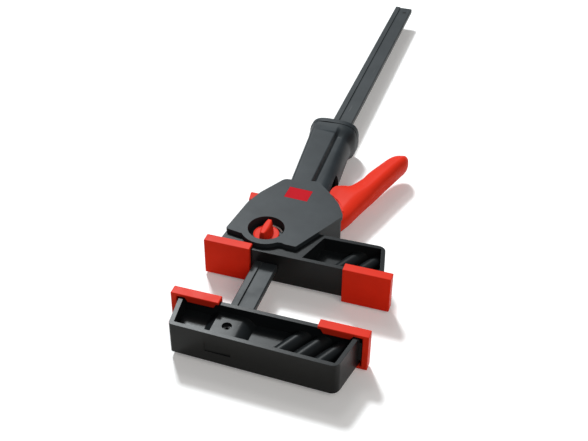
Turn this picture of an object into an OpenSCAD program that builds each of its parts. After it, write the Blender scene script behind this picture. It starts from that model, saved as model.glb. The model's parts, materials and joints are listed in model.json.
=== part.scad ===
// Quick release bar clamp, lying flat as it rests on a bench.
// X runs out along the jaws, Y along the bar towards the handle's end, Z up.
// The origin is on the bench, straight below the trigger lever's pivot.

/* [Bar] */
// Width of the steel bar
bar_w = 17.5; // [16:0.5:19.5]
// Thickness of the bar
bar_t = 6.5; // [6:0.5:9]
// Length of the bar
bar_len = 535; // [400:5:900]
// Width of the raised strip along the bar's heel edge
bar_strip_w = 5; // [3:0.5:6]
// Depth of the bar's long face below that strip
bar_recess = 0.7; // [0.4:0.1:0.8]
// Depth of the line between strip and face
bar_line = 1; // [0.9:0.1:1.4]
// Radius of the stop pin at the bar's far end
stop_pin_r = 1.8; // [1.2:0.1:2.2]
// Height of the stop pin below the bar
stop_pin_out = 1.8; // [1.2:0.1:2.4]
// From the stop pin to the bar's far end
stop_pin_inset = 10.9; // [6:0.1:30]
// Clearance of the bar in its guides
bar_gap = 0.15; // [0.1:0.05:0.25]

/* [Jaws] */
// Distance between the clamping faces as drawn
opening = 53; // [10:1:240]
// From the bar's centre to the toe end of the jaws, pads on
toe_reach = 94.8; // [88:0.2:110]
// From the bar's centre to the heel end of the jaws, pads on
heel_reach = 47.5; // [47:0.5:54]
// Depth of a jaw at its toe, behind the pads
jaw_depth = 34.2; // [34:0.2:38]
// How much shallower a jaw is at its heel
heel_step = 3; // [0:0.5:4]
// From the bar's centre to the sliding jaw's heel side, behind its pad
heel_side = 37.3; // [36.5:0.1:40]
// Height of the jaws
jaw_h = 26; // [25:0.5:28]
// Thickness of the jaws' walls
jaw_wall = 3.2; // [2.4:0.1:4]
// Thickness of the web between the upper and lower trays
web_t = 3; // [2:0.2:5]
// Radius of the round ridges in the trays
ridge_r = 5.8; // [5:0.1:6.6]
// Distance between two ridges
ridge_pitch = 14.7; // [14:0.1:16]
// Slant of the ridges across the trays
ridge_slant = 28; // [20:1:32]
// Radius of the pin that holds the fixed jaw
jaw_pin_r = 2; // [1.5:0.1:2.6]

/* [Pads] */
// Width of a pad across the jaw
pad_w = 35.8; // [30:0.2:38]
// Height of a pad
pad_h = 30.8; // [30:0.2:32]
// Thickness of a pad in front of the jaw
pad_t = 3.3; // [2:0.1:5]
// Thickness of a pad's end plate
pad_end_t = 4.4; // [3:0.1:4.6]
// Thickness of the tab behind the jaw's wall
pad_tab_t = 1.2; // [1:0.1:2.2]
// Clearance between a pad and the wall it grips
pad_gap = 0.1; // [0.05:0.05:0.2]

/* [Housing] */
// Height of the whole housing
housing_h = 33.5; // [33:0.25:36]
// From the sliding jaw's clamping face back to the lever's pivot
face_to_pivot = 61; // [60:0.5:62]
// Thickness of the shells' side walls
shell_wall = 2.5; // [2:0.1:3]
// How far the shells' side walls stand back from the cover's edge
skirt_inset = 1; // [0.5:0.1:1.5]
// Radius of the cover's bulge round the knob
bulge_r = 19.2; // [18:0.1:20.5]
// Radius of the shell screws
screw_r = 1.5; // [1.2:0.1:1.8]

/* [Handle] */
// Length from the lever's pivot to the end of the collar
handle_len = 128.5; // [124:0.5:160]
// Thickness of the end collar
collar_t = 5.5; // [4:0.5:7]
// Width of the groove in front of the collar
collar_groove = 0.8; // [0.5:0.1:1.2]
// Half the width of the handle's end flange
flange_half_w = 21.5; // [20:0.5:26]
// Height of the round grip beside the raised panel, from the bar's centre
grip_h = 12.8; // [11:0.1:13.5]

/* [Trigger lever] */
// Angle that the lever turns when it is squeezed
lever_travel = 12; // [6:0.5:12]
// Half the height of the lever at its ridge
lever_half_h = 8.9; // [8:0.1:9]
// Radius of the two pivot pins
pivot_r = 3; // [2:0.1:4]
// Thickness of one drive plate
drive_plate_t = 3; // [2:0.1:3.2]
// Thickness of one brake plate
brake_plate_t = 2.6; // [2:0.1:2.8]
// Tilt of a brake plate when it grips the bar
brake_tilt = 4; // [2:0.5:4]
// Half the width of the plates round the bar
plate_half_w = 15; // [14:0.1:15.2]

/* [Knob and button] */
// Radius of the knob's recess in the cover
recess_r = 13.9; // [13:0.1:14.6]
// Radius of the knob's disc
knob_r = 9.8; // [8:0.1:11]
// Depth of the knob's recess
recess_depth = 7.7; // [7:0.1:7.8]
// Travel of the release button
button_travel = 3; // [1.5:0.1:3]
// Width of the release button along the housing
button_w = 11; // [10:0.1:13]
// Height of the release button
button_h = 16; // [12:0.5:18]
// How far the button stands out of the housing
button_out = 12.5; // [9:0.5:14]

/* [Hidden] */
$fn = 48;
eps = 0.01;
gap = 0.3;
slip = 0.05;
far = 400;

// Heights from the bar's centre
bar_half_w = bar_w / 2;
bar_half_t = bar_t / 2;
rest_h = housing_h / 2;
jaw_half_h = jaw_h / 2;
window_half_w = bar_half_w + bar_gap;
window_half_t = bar_half_t + bar_gap;

// Places along the bar
bar_cover = 1.7;
slide_y = -face_to_pivot;
fixed_y = slide_y - opening;
bar_front_y = fixed_y - (pad_t + jaw_depth - heel_step - bar_cover);
bar_end_y = bar_front_y + bar_len;
stop_pin_x = 3;
stop_pin_y = bar_end_y - stop_pin_inset;

// Jaw ends without the pads
channel = 1.6;
toe_x = toe_reach - pad_end_t - channel;
heel_x = -(heel_reach - pad_end_t - channel);
toe_flare = 7.1;
heel_flare = 4;

// The fixed jaw's pin and the boss round it
jaw_pin_x = -1.7;
jaw_pin_y = fixed_y - 18.5;
boss_h = 6.8;
counterbore_r = 3.5;

// The knob
knob_at = [-7.8, slide_y + 26.7];
recess_floor = rest_h - recess_depth;
cup_wall = 1.5;
cam_top = recess_floor - cup_wall - gap;

// Fork and plates round the bar
fork_half_w = plate_half_w + 0.5;
fork_in = bar_half_w + 2.75;
fork_half_l = 8.4;
fork_half_h = 8.5;
fork_under = bar_half_t + 0.5;
plate_half_h = 8.8;
plate_window = [bar_half_w + gap, bar_half_t + gap];
drive_y = fork_half_l + gap;
drive_pitch = drive_plate_t + gap;
drive_back_y = drive_y + drive_pitch + drive_plate_t;
spring_seat_y = 25.3;
bulkhead_y = -20.8;
rib_t = 1.7;
brake_top = cam_top;
clamp_brake_y = knob_at.y - 6.4;
spread_brake_y = knob_at.y + 6.2;
brake_hinge_x = plate_half_w + 1.2;
spring_x = bar_half_w + 3.1;
spring_r = 2;
coil_r = bar_half_w + 3.1;
coil_wire = 1.4;

// The rib beside the bar that the lever's spring rests on stops the lever at the end of its travel
blade_heel = [20.9, 38.5];
lever_stop_x = blade_heel.x * cos(lever_travel) - blade_heel.y * sin(lever_travel) - 0.4;

// The release button
button_y = 11.5;
button_in_x = -plate_half_w - 2 - button_travel;
arm_x = [button_in_x - 4, button_in_x - 1.5];
arm_tip_x = -plate_half_w - 1.2;
arm_front_y = clamp_brake_y + 1.5;

// Shell screws: place, height of the head's face below the bar's centre, height of the tip above it
screw_top = rest_h - 1.7;
jaw_screws = [
    [-30.8, slide_y + 22.5, rest_h - 0.2, screw_top],
    [23.5, slide_y + 32, rest_h - 0.2, screw_top]
];
body_screws = [[28, -17, rest_h - 0.2, screw_top]];
grip_screws = [[13.5, 68, 7.6, 7], [12.8, 101, 7.2, 6]];
all_screws = concat(jaw_screws, body_screws, grip_screws);
screw_head_r = 2.8;
screw_head_h = 1.7;

red = "firebrick";
dark = "darkslategray";
steel = "lightslategray";

// ---- helpers ----

function unit(v) = v / norm(v);
function flat(p) = [p.x, p.y];

// The points that replace a corner at b, between a and c, by an arc of radius r
function corner(a, b, c, r, n = 6) =
    r == 0 ? [b] :
    let(u = unit(a - b), v = unit(c - b), half = acos(u * v) / 2, m = b + unit(u + v) * r / sin(half))
    let(t = b + u * r / tan(half), w = b + v * r / tan(half))
    let(s = atan2(t.y - m.y, t.x - m.x), e = atan2(w.y - m.y, w.x - m.x))
    let(turn = (e - s + 900) % 360 - 180)
    [for (i = [0:n]) m + r * [cos(s + turn * i / n), sin(s + turn * i / n)]];

// A closed outline from points [x, y, corner radius]
function rounded(pts) =
    let(n = len(pts))
    [for (i = [0:n - 1])
        each corner(flat(pts[(i + n - 1) % n]), flat(pts[i]), flat(pts[(i + 1) % n]), pts[i].z)];

// An outline with each edge moved inwards by d; the points run counter-clockwise
function inset(pts, d) =
    let(n = len(pts))
    [for (i = [0:n - 1])
        let(p = pts[i], u = unit(p - pts[(i + n - 1) % n]), v = unit(pts[(i + 1) % n] - p))
        let(nu = [-u.y, u.x], nv = [-v.y, v.x])
        p + (nu + nv) * d / (1 + nu * nv)];

// A solid through rings of points, each ring lying beyond the last
module loft(rings) {
    n = len(rings[0]);
    m = len(rings);
    sides = [for (k = [0:m - 2]) for (i = [0:n - 1])
        let(a = k * n + i, b = k * n + (i + 1) % n)
        each [[a, a + n, b], [b, a + n, b + n]]];
    polyhedron(
        points = [for (r = rings) each r],
        faces = concat([[for (i = [0:n - 1]) i]], sides, [[for (i = [n - 1:-1:0]) (m - 1) * n + i]]),
        convexity = 8);
}

// A block between two corners
module block(a, b) {
    translate(a) cube(b - a);
}

// A slab of a drawing in the X-Y plane, from height a to height b
module slab(a, b) {
    translate([0, 0, a]) linear_extrude(b - a) children();
}

// A section drawn in X-Z, run along the bar from y = a to y = b
module along(a, b) {
    translate([0, b, 0]) rotate([90, 0, 0]) linear_extrude(b - a) children();
}

// A cylinder along Y or X
module rod_y(r, a, b) {
    translate([0, b, 0]) rotate([90, 0, 0]) cylinder(r = r, h = b - a);
}

module rod_x(r, a, b) {
    translate([a, 0, 0]) rotate([0, 90, 0]) cylinder(r = r, h = b - a);
}

module bar_window(a, b, extra = 0) {
    half_w = window_half_w + extra;
    half_t = window_half_t + extra;
    block([-half_w, a, -half_t], [half_w, b, half_t]);
}

// Frames of the two jaws: y is the depth behind the clamping face
module fixed_frame() {
    translate([0, fixed_y, 0]) mirror([0, 1, 0]) children();
}

module sliding_frame() {
    translate([0, slide_y, 0]) children();
}

// ---- bar ----

module bar_section() {
    strip = -bar_half_w + bar_strip_w;
    line_w = 1;
    edge = 0.7;
    half = [
        [-bar_half_w, 0], [-bar_half_w, bar_half_t - edge], [-bar_half_w + edge, bar_half_t],
        [strip, bar_half_t], [strip, bar_half_t - bar_line], [strip + line_w, bar_half_t - bar_line],
        [strip + line_w, bar_half_t - bar_recess], [bar_half_w - edge, bar_half_t - bar_recess],
        [bar_half_w, bar_half_t - bar_recess - edge], [bar_half_w, 0]
    ];
    n = len(half);
    polygon(concat(half, [for (i = [n - 2:-1:1]) [half[i].x, -half[i].y]]));
}

module bar() {
    color(steel) difference() {
        along(bar_front_y, bar_end_y) bar_section();
        translate([jaw_pin_x, jaw_pin_y, -far / 2]) cylinder(r = jaw_pin_r + slip, h = far);
        translate([stop_pin_x, stop_pin_y, -far / 2]) cylinder(r = stop_pin_r + slip, h = far);
    }
}

module bar_stop_pin() {
    color("silver") translate([stop_pin_x, stop_pin_y, -bar_half_t - stop_pin_out])
        cylinder(r = stop_pin_r, h = bar_t + stop_pin_out - bar_recess - 0.2);
}

// ---- jaws, in their own frame ----

jaw_front = pad_t;
jaw_corners = [
    [heel_x, jaw_front, 0], [toe_x, jaw_front, 0],
    [toe_x - toe_flare, jaw_front + jaw_depth, 6],
    [heel_x + heel_flare, jaw_front + jaw_depth - heel_step, 2]
];
jaw_inside_corners = inset([for (c = jaw_corners) flat(c)], jaw_wall);
tray_floor = web_t / 2;
divider = [[24.7, 0], [37.3, jaw_front + jaw_depth]];

module jaw_outline() {
    polygon(rounded(jaw_corners));
}

module tray_outline() {
    polygon(jaw_inside_corners);
}

// The round ridges near the toe, on both faces of the web
ridge_sink = 2.2;
last_ridge_x = toe_x - toe_flare - jaw_wall - 7.4;

module ridges(count, slant) {
    intersection() {
        for (i = [0:count - 1])
            for (side = [-1, 1])
                translate([last_ridge_x - i * ridge_pitch, jaw_front + jaw_depth / 2,
                    side * (tray_floor - ridge_sink)])
                    rotate([0, 0, slant]) rod_y(ridge_r, -jaw_depth, jaw_depth);
        slab(-jaw_half_h, jaw_half_h) polygon(inset([for (c = jaw_corners) flat(c)], jaw_wall / 2));
    }
}

// Tongue on each end wall, which fills part of the channel behind a pad's end plate
module tongue(x, out) {
    reach = channel - gap;
    block([min(x, x + out * reach) - (out > 0 ? 1.4 : 0), jaw_front + 0.6, -8],
          [max(x, x + out * reach) + (out < 0 ? 1.4 : 0), jaw_front + 3.4, 8]);
}

module tongues() {
    tongue(toe_x, 1);
    tongue(heel_x, -1);
}

module fixed_jaw() {
    front_pocket = [-12, 7];
    boss_heel = -bar_half_w - 2.6;
    boss_toe = bar_half_w - 2.3;
    boss = [
        [boss_heel - 6.2, tray_floor - 1], [boss_heel - 6.2, tray_floor], [boss_heel, boss_h],
        [boss_toe, boss_h], [boss_toe + 3, boss_h - 0.6], [boss_toe + 5.5, boss_h - 2.2],
        [boss_toe + 7.3, boss_h - 4], [boss_toe + 8.5, tray_floor], [boss_toe + 8.5, tray_floor - 1]
    ];
    bar_depth = fixed_y - bar_front_y + slip;
    color(dark) fixed_frame() difference() {
        union() {
            difference() {
                slab(-jaw_half_h, jaw_half_h) jaw_outline();
                slab(tray_floor, far) tray_outline();
                slab(-far, -tray_floor) tray_outline();
            }
            intersection() {
                union() {
                    ridges(3, ridge_slant);
                    for (side = [0, 1])
                        mirror([0, 0, side])
                            along(jaw_front + 1, jaw_front + jaw_depth - 1.5) polygon(boss);
                }
                slab(-jaw_half_h, jaw_half_h) jaw_outline();
            }
            tongues();
        }
        block([-bar_half_w - slip, -1, -bar_half_t - slip],
              [bar_half_w + slip, bar_depth, bar_half_t + slip]);
        translate([jaw_pin_x, fixed_y - jaw_pin_y, 0]) {
            cylinder(r = jaw_pin_r + slip, h = far, center = true);
            for (side = [0, 1])
                mirror([0, 0, side]) translate([0, 0, boss_h - 2]) cylinder(r = counterbore_r, h = far);
        }
        block([front_pocket[0], jaw_front + jaw_depth - heel_step + 0.2, -4], [front_pocket[1], far, 4]);
    }
}

// The rolled spring pin that holds the fixed jaw on the bar
module fixed_jaw_pin() {
    pin_half = boss_h - 2.4;
    pin_wall = 0.8;
    slit = 0.5;
    color("silver") translate([jaw_pin_x, jaw_pin_y, -pin_half]) difference() {
        cylinder(r = jaw_pin_r, h = 2 * pin_half);
        translate([0, 0, -1]) cylinder(r = jaw_pin_r - pin_wall, h = far);
        block([0, -slit / 2, -1], [far, slit / 2, far]);
    }
}

// A pad, drawn for the toe; xa to xb is its width and the end plate is at xb
module pad(xa, xb, tab_end) {
    wall_back = jaw_front + jaw_wall;
    back = wall_back + pad_gap + pad_tab_t;
    half = pad_h / 2;
    lip = jaw_half_h + pad_gap;
    tab_foot = 9.6;
    tab = [
        [xa + 2, lip + eps], [xa + 4, tab_foot], [tab_end - 2, tab_foot], [tab_end, lip + eps]
    ];
    face_back = pad_t - slip;
    slab(-half, half) polygon([
        [xa, 0], [xb, 0], [xb, back], [xb - pad_end_t, back], [xb - pad_end_t, face_back],
        [xa, face_back]]);
    for (side = [0, 1])
        mirror([0, 0, side]) {
            block([xa, face_back - eps, lip], [xb, back, half]);
            along(wall_back + pad_gap, back) polygon(tab);
        }
}

module toe_pad() {
    pad(toe_reach - pad_w, toe_reach, toe_x - jaw_wall - 1.6);
}

module heel_pad() {
    mirror([1, 0, 0]) pad(heel_reach - pad_w, heel_reach, -heel_x - jaw_wall - 1.2);
}

module fixed_heel_pad() {
    color(red) fixed_frame() heel_pad();
}

module fixed_toe_pad() {
    color(red) fixed_frame() toe_pad();
}

module sliding_heel_pad() {
    color(red) sliding_frame() heel_pad();
}

module sliding_toe_pad() {
    color(red) sliding_frame() toe_pad();
}

// The sliding jaw: a tray at the toe, a solid heel, and a pocket for the brake behind the bar's guide
pocket_front = 15.3;

module sliding_jaw() {
    tab_slot_x = [heel_x + jaw_wall, -(heel_reach - pad_w)];
    tab_slot_y = jaw_front + jaw_wall;
    notch = brake_plate_t + 2 * gap;
    color(dark) difference() {
        sliding_frame() difference() {
            union() {
                difference() {
                    slab(-jaw_half_h, jaw_half_h) jaw_outline();
                    for (side = [0, 1])
                        mirror([0, 0, side]) slab(tray_floor, far) intersection() {
                            tray_outline();
                            polygon([divider[0], [far, 0], [far, far], divider[1]]);
                        }
                }
                ridges(2, -ridge_slant);
                tongues();
            }
            for (side = [0, 1])
                mirror([0, 0, side])
                    block([tab_slot_x[0], tab_slot_y, 9.3], [tab_slot_x[1], tab_slot_y + 2.1, far]);
            slab(-far, far) polygon([
                [-far, tab_slot_y + 2.1], [-heel_side, tab_slot_y + 2.1],
                [-heel_side + 2.4, jaw_front + jaw_depth], [-far, jaw_front + jaw_depth]]);
            bar_window(-1, far);
            block([-21, pocket_front, -far], [plate_half_w + 0.6, far, far]);
            block([-26, pocket_front + 4, -far], [plate_half_w + 0.6, far, far]);
        }
        translate([knob_at.x, knob_at.y, recess_floor - cup_wall - gap])
            cylinder(r = recess_r + cup_wall + gap, h = far);
        for (y = [clamp_brake_y, spread_brake_y])
            block([0, y - notch / 2, -plate_half_h - gap],
                  [brake_hinge_x + notch / 2, y + notch / 2, brake_top + gap]);
        for (at = jaw_screws)
            translate([at.x, at.y, 0]) cylinder(r = screw_r + gap, h = far, center = true);
    }
}

// ---- housing shells ----

cover_straight = slide_y + 16.9;
bulge_from = 218;
bulge_to = 314;
bulge = [for (i = [0:10]) let(a = bulge_from + (bulge_to - bulge_from) * i / 10)
    knob_at + bulge_r * [cos(a), sin(a)]];
cover_front_toe = slide_y + 12.6;
cover_toe_edge = [
    [19.9, slide_y + 12.4, 1.5], [43.1, -2.1, 6], [34.9, 12.5, 20], [23.3, 24.5, 0], [11.9, 34.8, 0]
];
cover_heel_edge = [
    [-9.2, 30.6, 0], [-14.5, 30.2, 6], [-26.8, 7.2, 0], [-32, -8.2, 0], [-36.4, cover_straight, 1.5]
];
cover_outline = concat(
    rounded(concat(
        [[-25.5, cover_straight - 1.7, 0]],
        [for (p = bulge) [p.x, p.y, 0]],
        [[8.6, cover_front_toe + 0.9, 0], [11.5, cover_front_toe, 0]],
        cover_toe_edge, cover_heel_edge)));
skirt_outline = inset(cover_outline, skirt_inset);
cavity_outline = inset(cover_outline, skirt_inset + shell_wall);

// The side walls start just behind the sliding jaw
module behind_jaw() {
    y_heel = slide_y + jaw_front + jaw_depth - heel_step + gap;
    y_toe = slide_y + jaw_front + jaw_depth + gap;
    x_heel = heel_x + heel_flare;
    x_toe = toe_x - toe_flare;
    slope = (y_toe - y_heel) / (x_toe - x_heel);
    polygon([
        [-100, y_heel - slope * (100 + x_heel)], [100, y_heel + slope * (100 - x_heel)],
        [100, 200], [-100, 200]]);
}

// Handle: upper half of its section at y, moved inwards by d
function handle_left(y) = -8.9 - 0.088 * (y - 30);
function panel_right(y) = 7 - 0.026 * (y - 30);
function grip_right(y) = 23.8 - 0.07 * (y - 30);

function handle_half(y, d) =
    let(l = handle_left(y) + d, r = panel_right(y) - d, g = grip_right(y) - d)
    let(top = rest_h - d, b = grip_h - d, c = r + 3)
    concat(
        [[l - 1.5, 0], [l - 1.5, top - 5], [l - 1.1, top - 2.2], [l, top - 0.7], [l + 2, top]],
        [[r - 1.3, top], [r - 0.3, top - 0.5], [r + 0.2, top - 1.8], [r + 0.8, b + 0.8],
         [r + 1.8, b - 0.2]],
        [for (t = [80, 66, 52, 38, 25, 12, 0]) [c + (g - c) * pow(cos(t), 0.8), b * sin(t)]]);

// Flange: the point of a rounded rectangle in the direction of p, moved inwards by d
flange_x = -1;
flange_power = 3.4;
function flange_point(p, d) =
    let(a = atan2(p.y, p.x - flange_x), w = flange_half_w - d, h = rest_h - d)
    let(k = pow(abs(cos(a)) / w, flange_power) + pow(abs(sin(a)) / h, flange_power))
    [flange_x, 0] + pow(k, -1 / flange_power) * [cos(a), sin(a)];

flange_from = handle_len - 22.5;
flange_full = handle_len - 9.5;
function flare(y) =
    let(t = min(1, max(0, (y - flange_from) / (flange_full - flange_from))))
    t * t * (3 - 2 * t);

function handle_ring(y, d) =
    [for (p = handle_half(y, d)) let(q = p + (flange_point(p, d) - p) * flare(y)) [q.x, y, q.y]];

handle_end_y = handle_len - collar_t - collar_groove;
handle_stations = concat(
    [26, 60, 95], [for (i = [0:6]) flange_from + (flange_full - flange_from) * i / 6], [handle_end_y]);

module handle_outer() {
    loft([for (y = handle_stations) handle_ring(y, 0)]);
}

module handle_inner() {
    loft([for (y = [22, 60, flange_from, flange_from + 8, handle_end_y - 5]) handle_ring(y, shell_wall)]);
}

// The lever's way out of the shells, which leaves a thin wall at the cover's toe corner, and the
// lower slot in the grip's side
module lever_way() {
    half = lever_half_h + 0.4;
    slot_half = lever_half_h - 1;
    inner = bar_half_w + 0.5;
    slab(-half, half) polygon([
        [inner, -6], [36, -6], [39.6, -3], [39.6, 0.8], [60, 0.8], [60, 34], [inner, 34]]);
    slab(-slot_half, slot_half) polygon([[inner, 33], [60, 33], [60, 60], [inner, 60]]);
}

module button_way() {
    block([-60, button_y - button_w / 2 - gap, -button_h / 2 - gap],
          [-16, button_y + button_w / 2 + gap, button_h / 2 + gap]);
}

// What both shells share, drawn as the upper half
module shell_half() {
    difference() {
        union() {
            slab(jaw_half_h, rest_h) polygon(cover_outline);
            slab(0, jaw_half_h + eps) intersection() {
                polygon(skirt_outline);
                behind_jaw();
            }
            handle_outer();
        }
        slab(-eps, jaw_half_h) intersection() {
            polygon(cavity_outline);
            behind_jaw();
        }
        handle_inner();
        lever_way();
        button_way();
        bar_window(0, far, 0);
    }
    shell_ribs();
}

// Ribs and bosses inside a shell
module shell_ribs() {
    boss_foot = fork_half_h + gap;
    difference() {
        union() {
            block([-17, bulkhead_y - rib_t, 0], [24, bulkhead_y, jaw_half_h + eps]);
            block([-coil_r - 0.4, spring_seat_y, 0],
                  [coil_r + 0.4, spring_seat_y + rib_t, jaw_half_h + eps]);
            block([bar_half_w + 0.5, 34.4, 0], [lever_stop_x, 41, grip_h - 1]);
            for (at = body_screws)
                translate([at.x, at.y, 0]) cylinder(r = 2.9, h = jaw_half_h + eps);
            for (at = grip_screws)
                translate([at.x, at.y, 0]) cylinder(r = 3.8, h = at[3] + 1);
        }
        bar_window(-far / 2, far, 0.25);
    }
    difference() {
        translate([0, 0, boss_foot]) cylinder(r = pivot_r + 3, h = jaw_half_h + eps - boss_foot);
        cylinder(r = pivot_r + slip, h = far);
    }
}

// The blind hole that a screw's tip bites into
module screw_hole(at) {
    translate([at.x, at.y, -eps]) cylinder(r = screw_r + slip, h = at[3] + 0.5);
}

// Blind holes for the pivot pin and the screws
module blind_holes() {
    translate([0, 0, -eps]) cylinder(r = pivot_r + slip, h = rest_h - 2);
    for (at = all_screws)
        screw_hole(at);
}

module upper_shell() {
    color(dark) difference() {
        union() {
            difference() {
                shell_half();
                translate([knob_at.x, knob_at.y, recess_floor]) cylinder(r = recess_r, h = far);
            }
            translate([knob_at.x, knob_at.y, 0]) difference() {
                translate([0, 0, recess_floor - cup_wall])
                    cylinder(r = recess_r + cup_wall, h = rest_h - recess_floor);
                translate([0, 0, recess_floor]) cylinder(r = recess_r, h = far);
            }
        }
        translate([knob_at.x, knob_at.y, 0]) cylinder(r = knob_shaft_r + slip, h = far);
        blind_holes();
        badge_bed(badge_t + slip, slip);
    }
}

// The lower shell mirrors the upper one, with the screws' countersunk holes instead of the knob
module lower_shell() {
    color(dark) mirror([0, 0, 1]) difference() {
        shell_half();
        blind_holes();
        for (at = all_screws)
            translate([at.x, at.y, 0]) {
                translate([0, 0, -eps]) cylinder(r = screw_r + slip, h = far);
                translate([0, 0, at[2] - screw_head_h])
                    cylinder(r1 = screw_r + slip, r2 = screw_head_r + slip, h = screw_head_h);
                translate([0, 0, at[2] - eps]) cylinder(r = screw_head_r + slip, h = far);
            }
    }
}

module shell_screws() {
    color("silver") for (at = all_screws)
        translate([at.x, at.y, -at[2]]) {
            cylinder(r1 = screw_head_r, r2 = screw_r, h = screw_head_h);
            cylinder(r = screw_r, h = at[2] + at[3]);
        }
}

module flange_outline(d) {
    polygon([for (i = [0:47]) flange_point([flange_x, 0] + [cos(i * 7.5), sin(i * 7.5)], d)]);
}

module end_collar() {
    color(dark) difference() {
        union() {
            along(handle_len - collar_t, handle_len) flange_outline(0);
            along(handle_end_y, handle_len - collar_t + eps) flange_outline(1.4);
        }
        bar_window(0, far, 0.1);
    }
}

// The plain badge on the cover
badge_t = 0.6;

module badge_bed(t, grow) {
    translate([2, 13.8, rest_h - t]) rotate([0, 0, -2])
        linear_extrude(far) square([19 + 2 * grow, 14 + 2 * grow], center = true);
}

module badge_plate() {
    color(red) intersection() {
        badge_bed(badge_t, 0);
        slab(0, rest_h) square(200, center = true);
    }
}

// ---- trigger lever ----

// Stations along the blade: inner edge, outer edge, share of the full height, and the least share
// at the inner shoulder
blade = [
    [[19, 9.5], [34.5, -5], 0.9, 0.9], [[20.6, 19], [39.6, 2.2], 0.9, 0.9],
    [[20, 27], [44.3, 12.8], 0.93, 0.88], [blade_heel, [48, 26], 0.98, 0.82],
    [[23.2, 46], [51, 36.5], 1, 0.8], [[29.5, 49.6], [53.8, 45.5], 1, 0.75],
    [[33.8, 51.5], [55.5, 51.5], 1, 0.7], [[37.2, 58], [57.6, 59], 1, 0.6],
    [[40.4, 66.5], [60, 67.5], 1, 0.5], [[42.6, 75], [63, 77], 1, 0.3],
    [[48.1, 89], [67, 90], 0.99, 0], [[53, 100.5], [69.7, 98.5], 0.97, 0],
    [[57.2, 107.5], [69.9, 104.5], 0.92, 0], [[60.4, 110.6], [68.6, 108.3], 0.8, 0],
    [[62.6, 111.6], [66.4, 110.7], 0.5, 0]
];
// Half of the blade's section: share of the width from the inner edge, share of the height
blade_half = [
    [0, 0.4], [0.05, 0.58], [0.18, 0.74], [0.42, 0.89], [0.66, 1], [0.8, 0.95],
    [0.92, 0.74], [0.985, 0.4], [1, 0]
];

// Height of a point p of the section at station s
function blade_height(p, s) = lever_half_h * s[2] * (p.y > 0 && p.x < 0.5 ? max(p.y, s[3]) : p.y);

function blade_ring(s) =
    let(n = len(blade_half))
    let(half = [for (p = blade_half) [p.x, blade_height(p, s)]])
    let(pts = concat(half, [for (i = [n - 2:-1:0]) [half[i].x, -half[i].y]]))
    [for (p = pts) let(q = s[0] + (s[1] - s[0]) * p.x) [q.x, q.y, p.y]];

root_outline = [
    [fork_in, -fork_half_l, 0], [24, -fork_half_l, 0], [31.5, -5.5, 2], [34, 2, 2], [32, 12, 0],
    [21.5, 24, 0], [20, 22, 0], [19, 15.5, 0], [17.6, fork_half_l, 0], [fork_in, fork_half_l, 0]
];
lever_spring_y = 38;
lever_spring_r = 2.6;
lever_spring_x = [lever_stop_x + gap, 29];

module trigger_lever() {
    color(red) difference() {
        union() {
            loft([for (s = blade) blade_ring(s)]);
            slab(-fork_half_h, fork_half_h) polygon(rounded(root_outline));
            slab(-fork_half_h, fork_half_h) polygon([[-fork_half_w, -fork_half_l],
                [-fork_in, -fork_half_l], [-fork_in, fork_half_l], [-fork_half_w, fork_half_l]]);
            for (side = [0, 1])
                mirror([0, 0, side]) slab(fork_under, fork_half_h)
                    polygon([[-fork_half_w, -fork_half_l], [fork_half_w, -fork_half_l],
                        [fork_half_w, fork_half_l], [-fork_half_w, fork_half_l]]);
        }
        cylinder(r = pivot_r + slip, h = far, center = true);
        translate([0, lever_spring_y, 0]) rod_x(lever_spring_r + gap, 0, lever_spring_x[1] + gap);
    }
}

module lever_pivot_pins() {
    color("silver") for (side = [0, 1])
        mirror([0, 0, side]) translate([0, 0, fork_under])
            cylinder(r = pivot_r, h = rest_h - 2.2 - fork_under);
}

module sleeve_x(r, wire, a, b) {
    difference() {
        rod_x(r, a, b);
        rod_x(r - wire, a - 1, b + 1);
    }
}

module sleeve_y(r, wire, a, b) {
    difference() {
        rod_y(r, a, b);
        rod_y(r - wire, a - 1, b + 1);
    }
}

module lever_return_spring() {
    color("silver") translate([0, lever_spring_y, 0])
        sleeve_x(lever_spring_r, 0.8, lever_spring_x[0], lever_spring_x[1]);
}

// ---- plates that grip the bar ----

module plate(t, low, high) {
    difference() {
        block([-plate_half_w, -t / 2, low], [plate_half_w, t / 2, high]);
        block([-plate_window.x, -t, -plate_window.y], [plate_window.x, t, plate_window.y]);
    }
}

module drive_pair() {
    for (i = [0:1])
        translate([0, drive_y + i * drive_pitch + drive_plate_t / 2, 0])
            plate(drive_plate_t, -plate_half_h, plate_half_h);
}

module clamp_drive_plates() {
    color("slategray") drive_pair();
}

module spread_drive_plates() {
    color("slategray") mirror([0, 1, 0]) drive_pair();
}

// A brake plate hinges on its toe end, which sits in a notch of the sliding jaw
module brake_plate(y, tilt) {
    half_t = brake_plate_t / 2;
    color("slategray") translate([brake_hinge_x, y, 0]) rotate([0, 0, tilt]) {
        translate([-brake_hinge_x, 0, 0]) plate(brake_plate_t, -plate_half_h, brake_top);
        block([plate_half_w - brake_hinge_x - eps, -half_t, -plate_half_h], [0, half_t, brake_top]);
        translate([0, 0, -plate_half_h]) cylinder(r = half_t, h = brake_top + plate_half_h);
    }
}

module clamp_brake_plate() {
    brake_plate(clamp_brake_y, -brake_tilt);
}

module spread_brake_plate() {
    brake_plate(spread_brake_y, 0);
}

module clamp_drive_spring() {
    color("silver") sleeve_y(coil_r, coil_wire, drive_back_y + gap, spring_seat_y - gap);
}

module spread_drive_springs() {
    color("silver") for (x = [-spring_x, spring_x])
        translate([x, 0, 0]) sleeve_y(spring_r, 0.7, bulkhead_y + gap, -drive_back_y - gap);
}

// The two brake springs press the plates' heel ends towards each other
brake_shift = (brake_hinge_x + spring_x - spring_r) * sin(brake_tilt);

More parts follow.
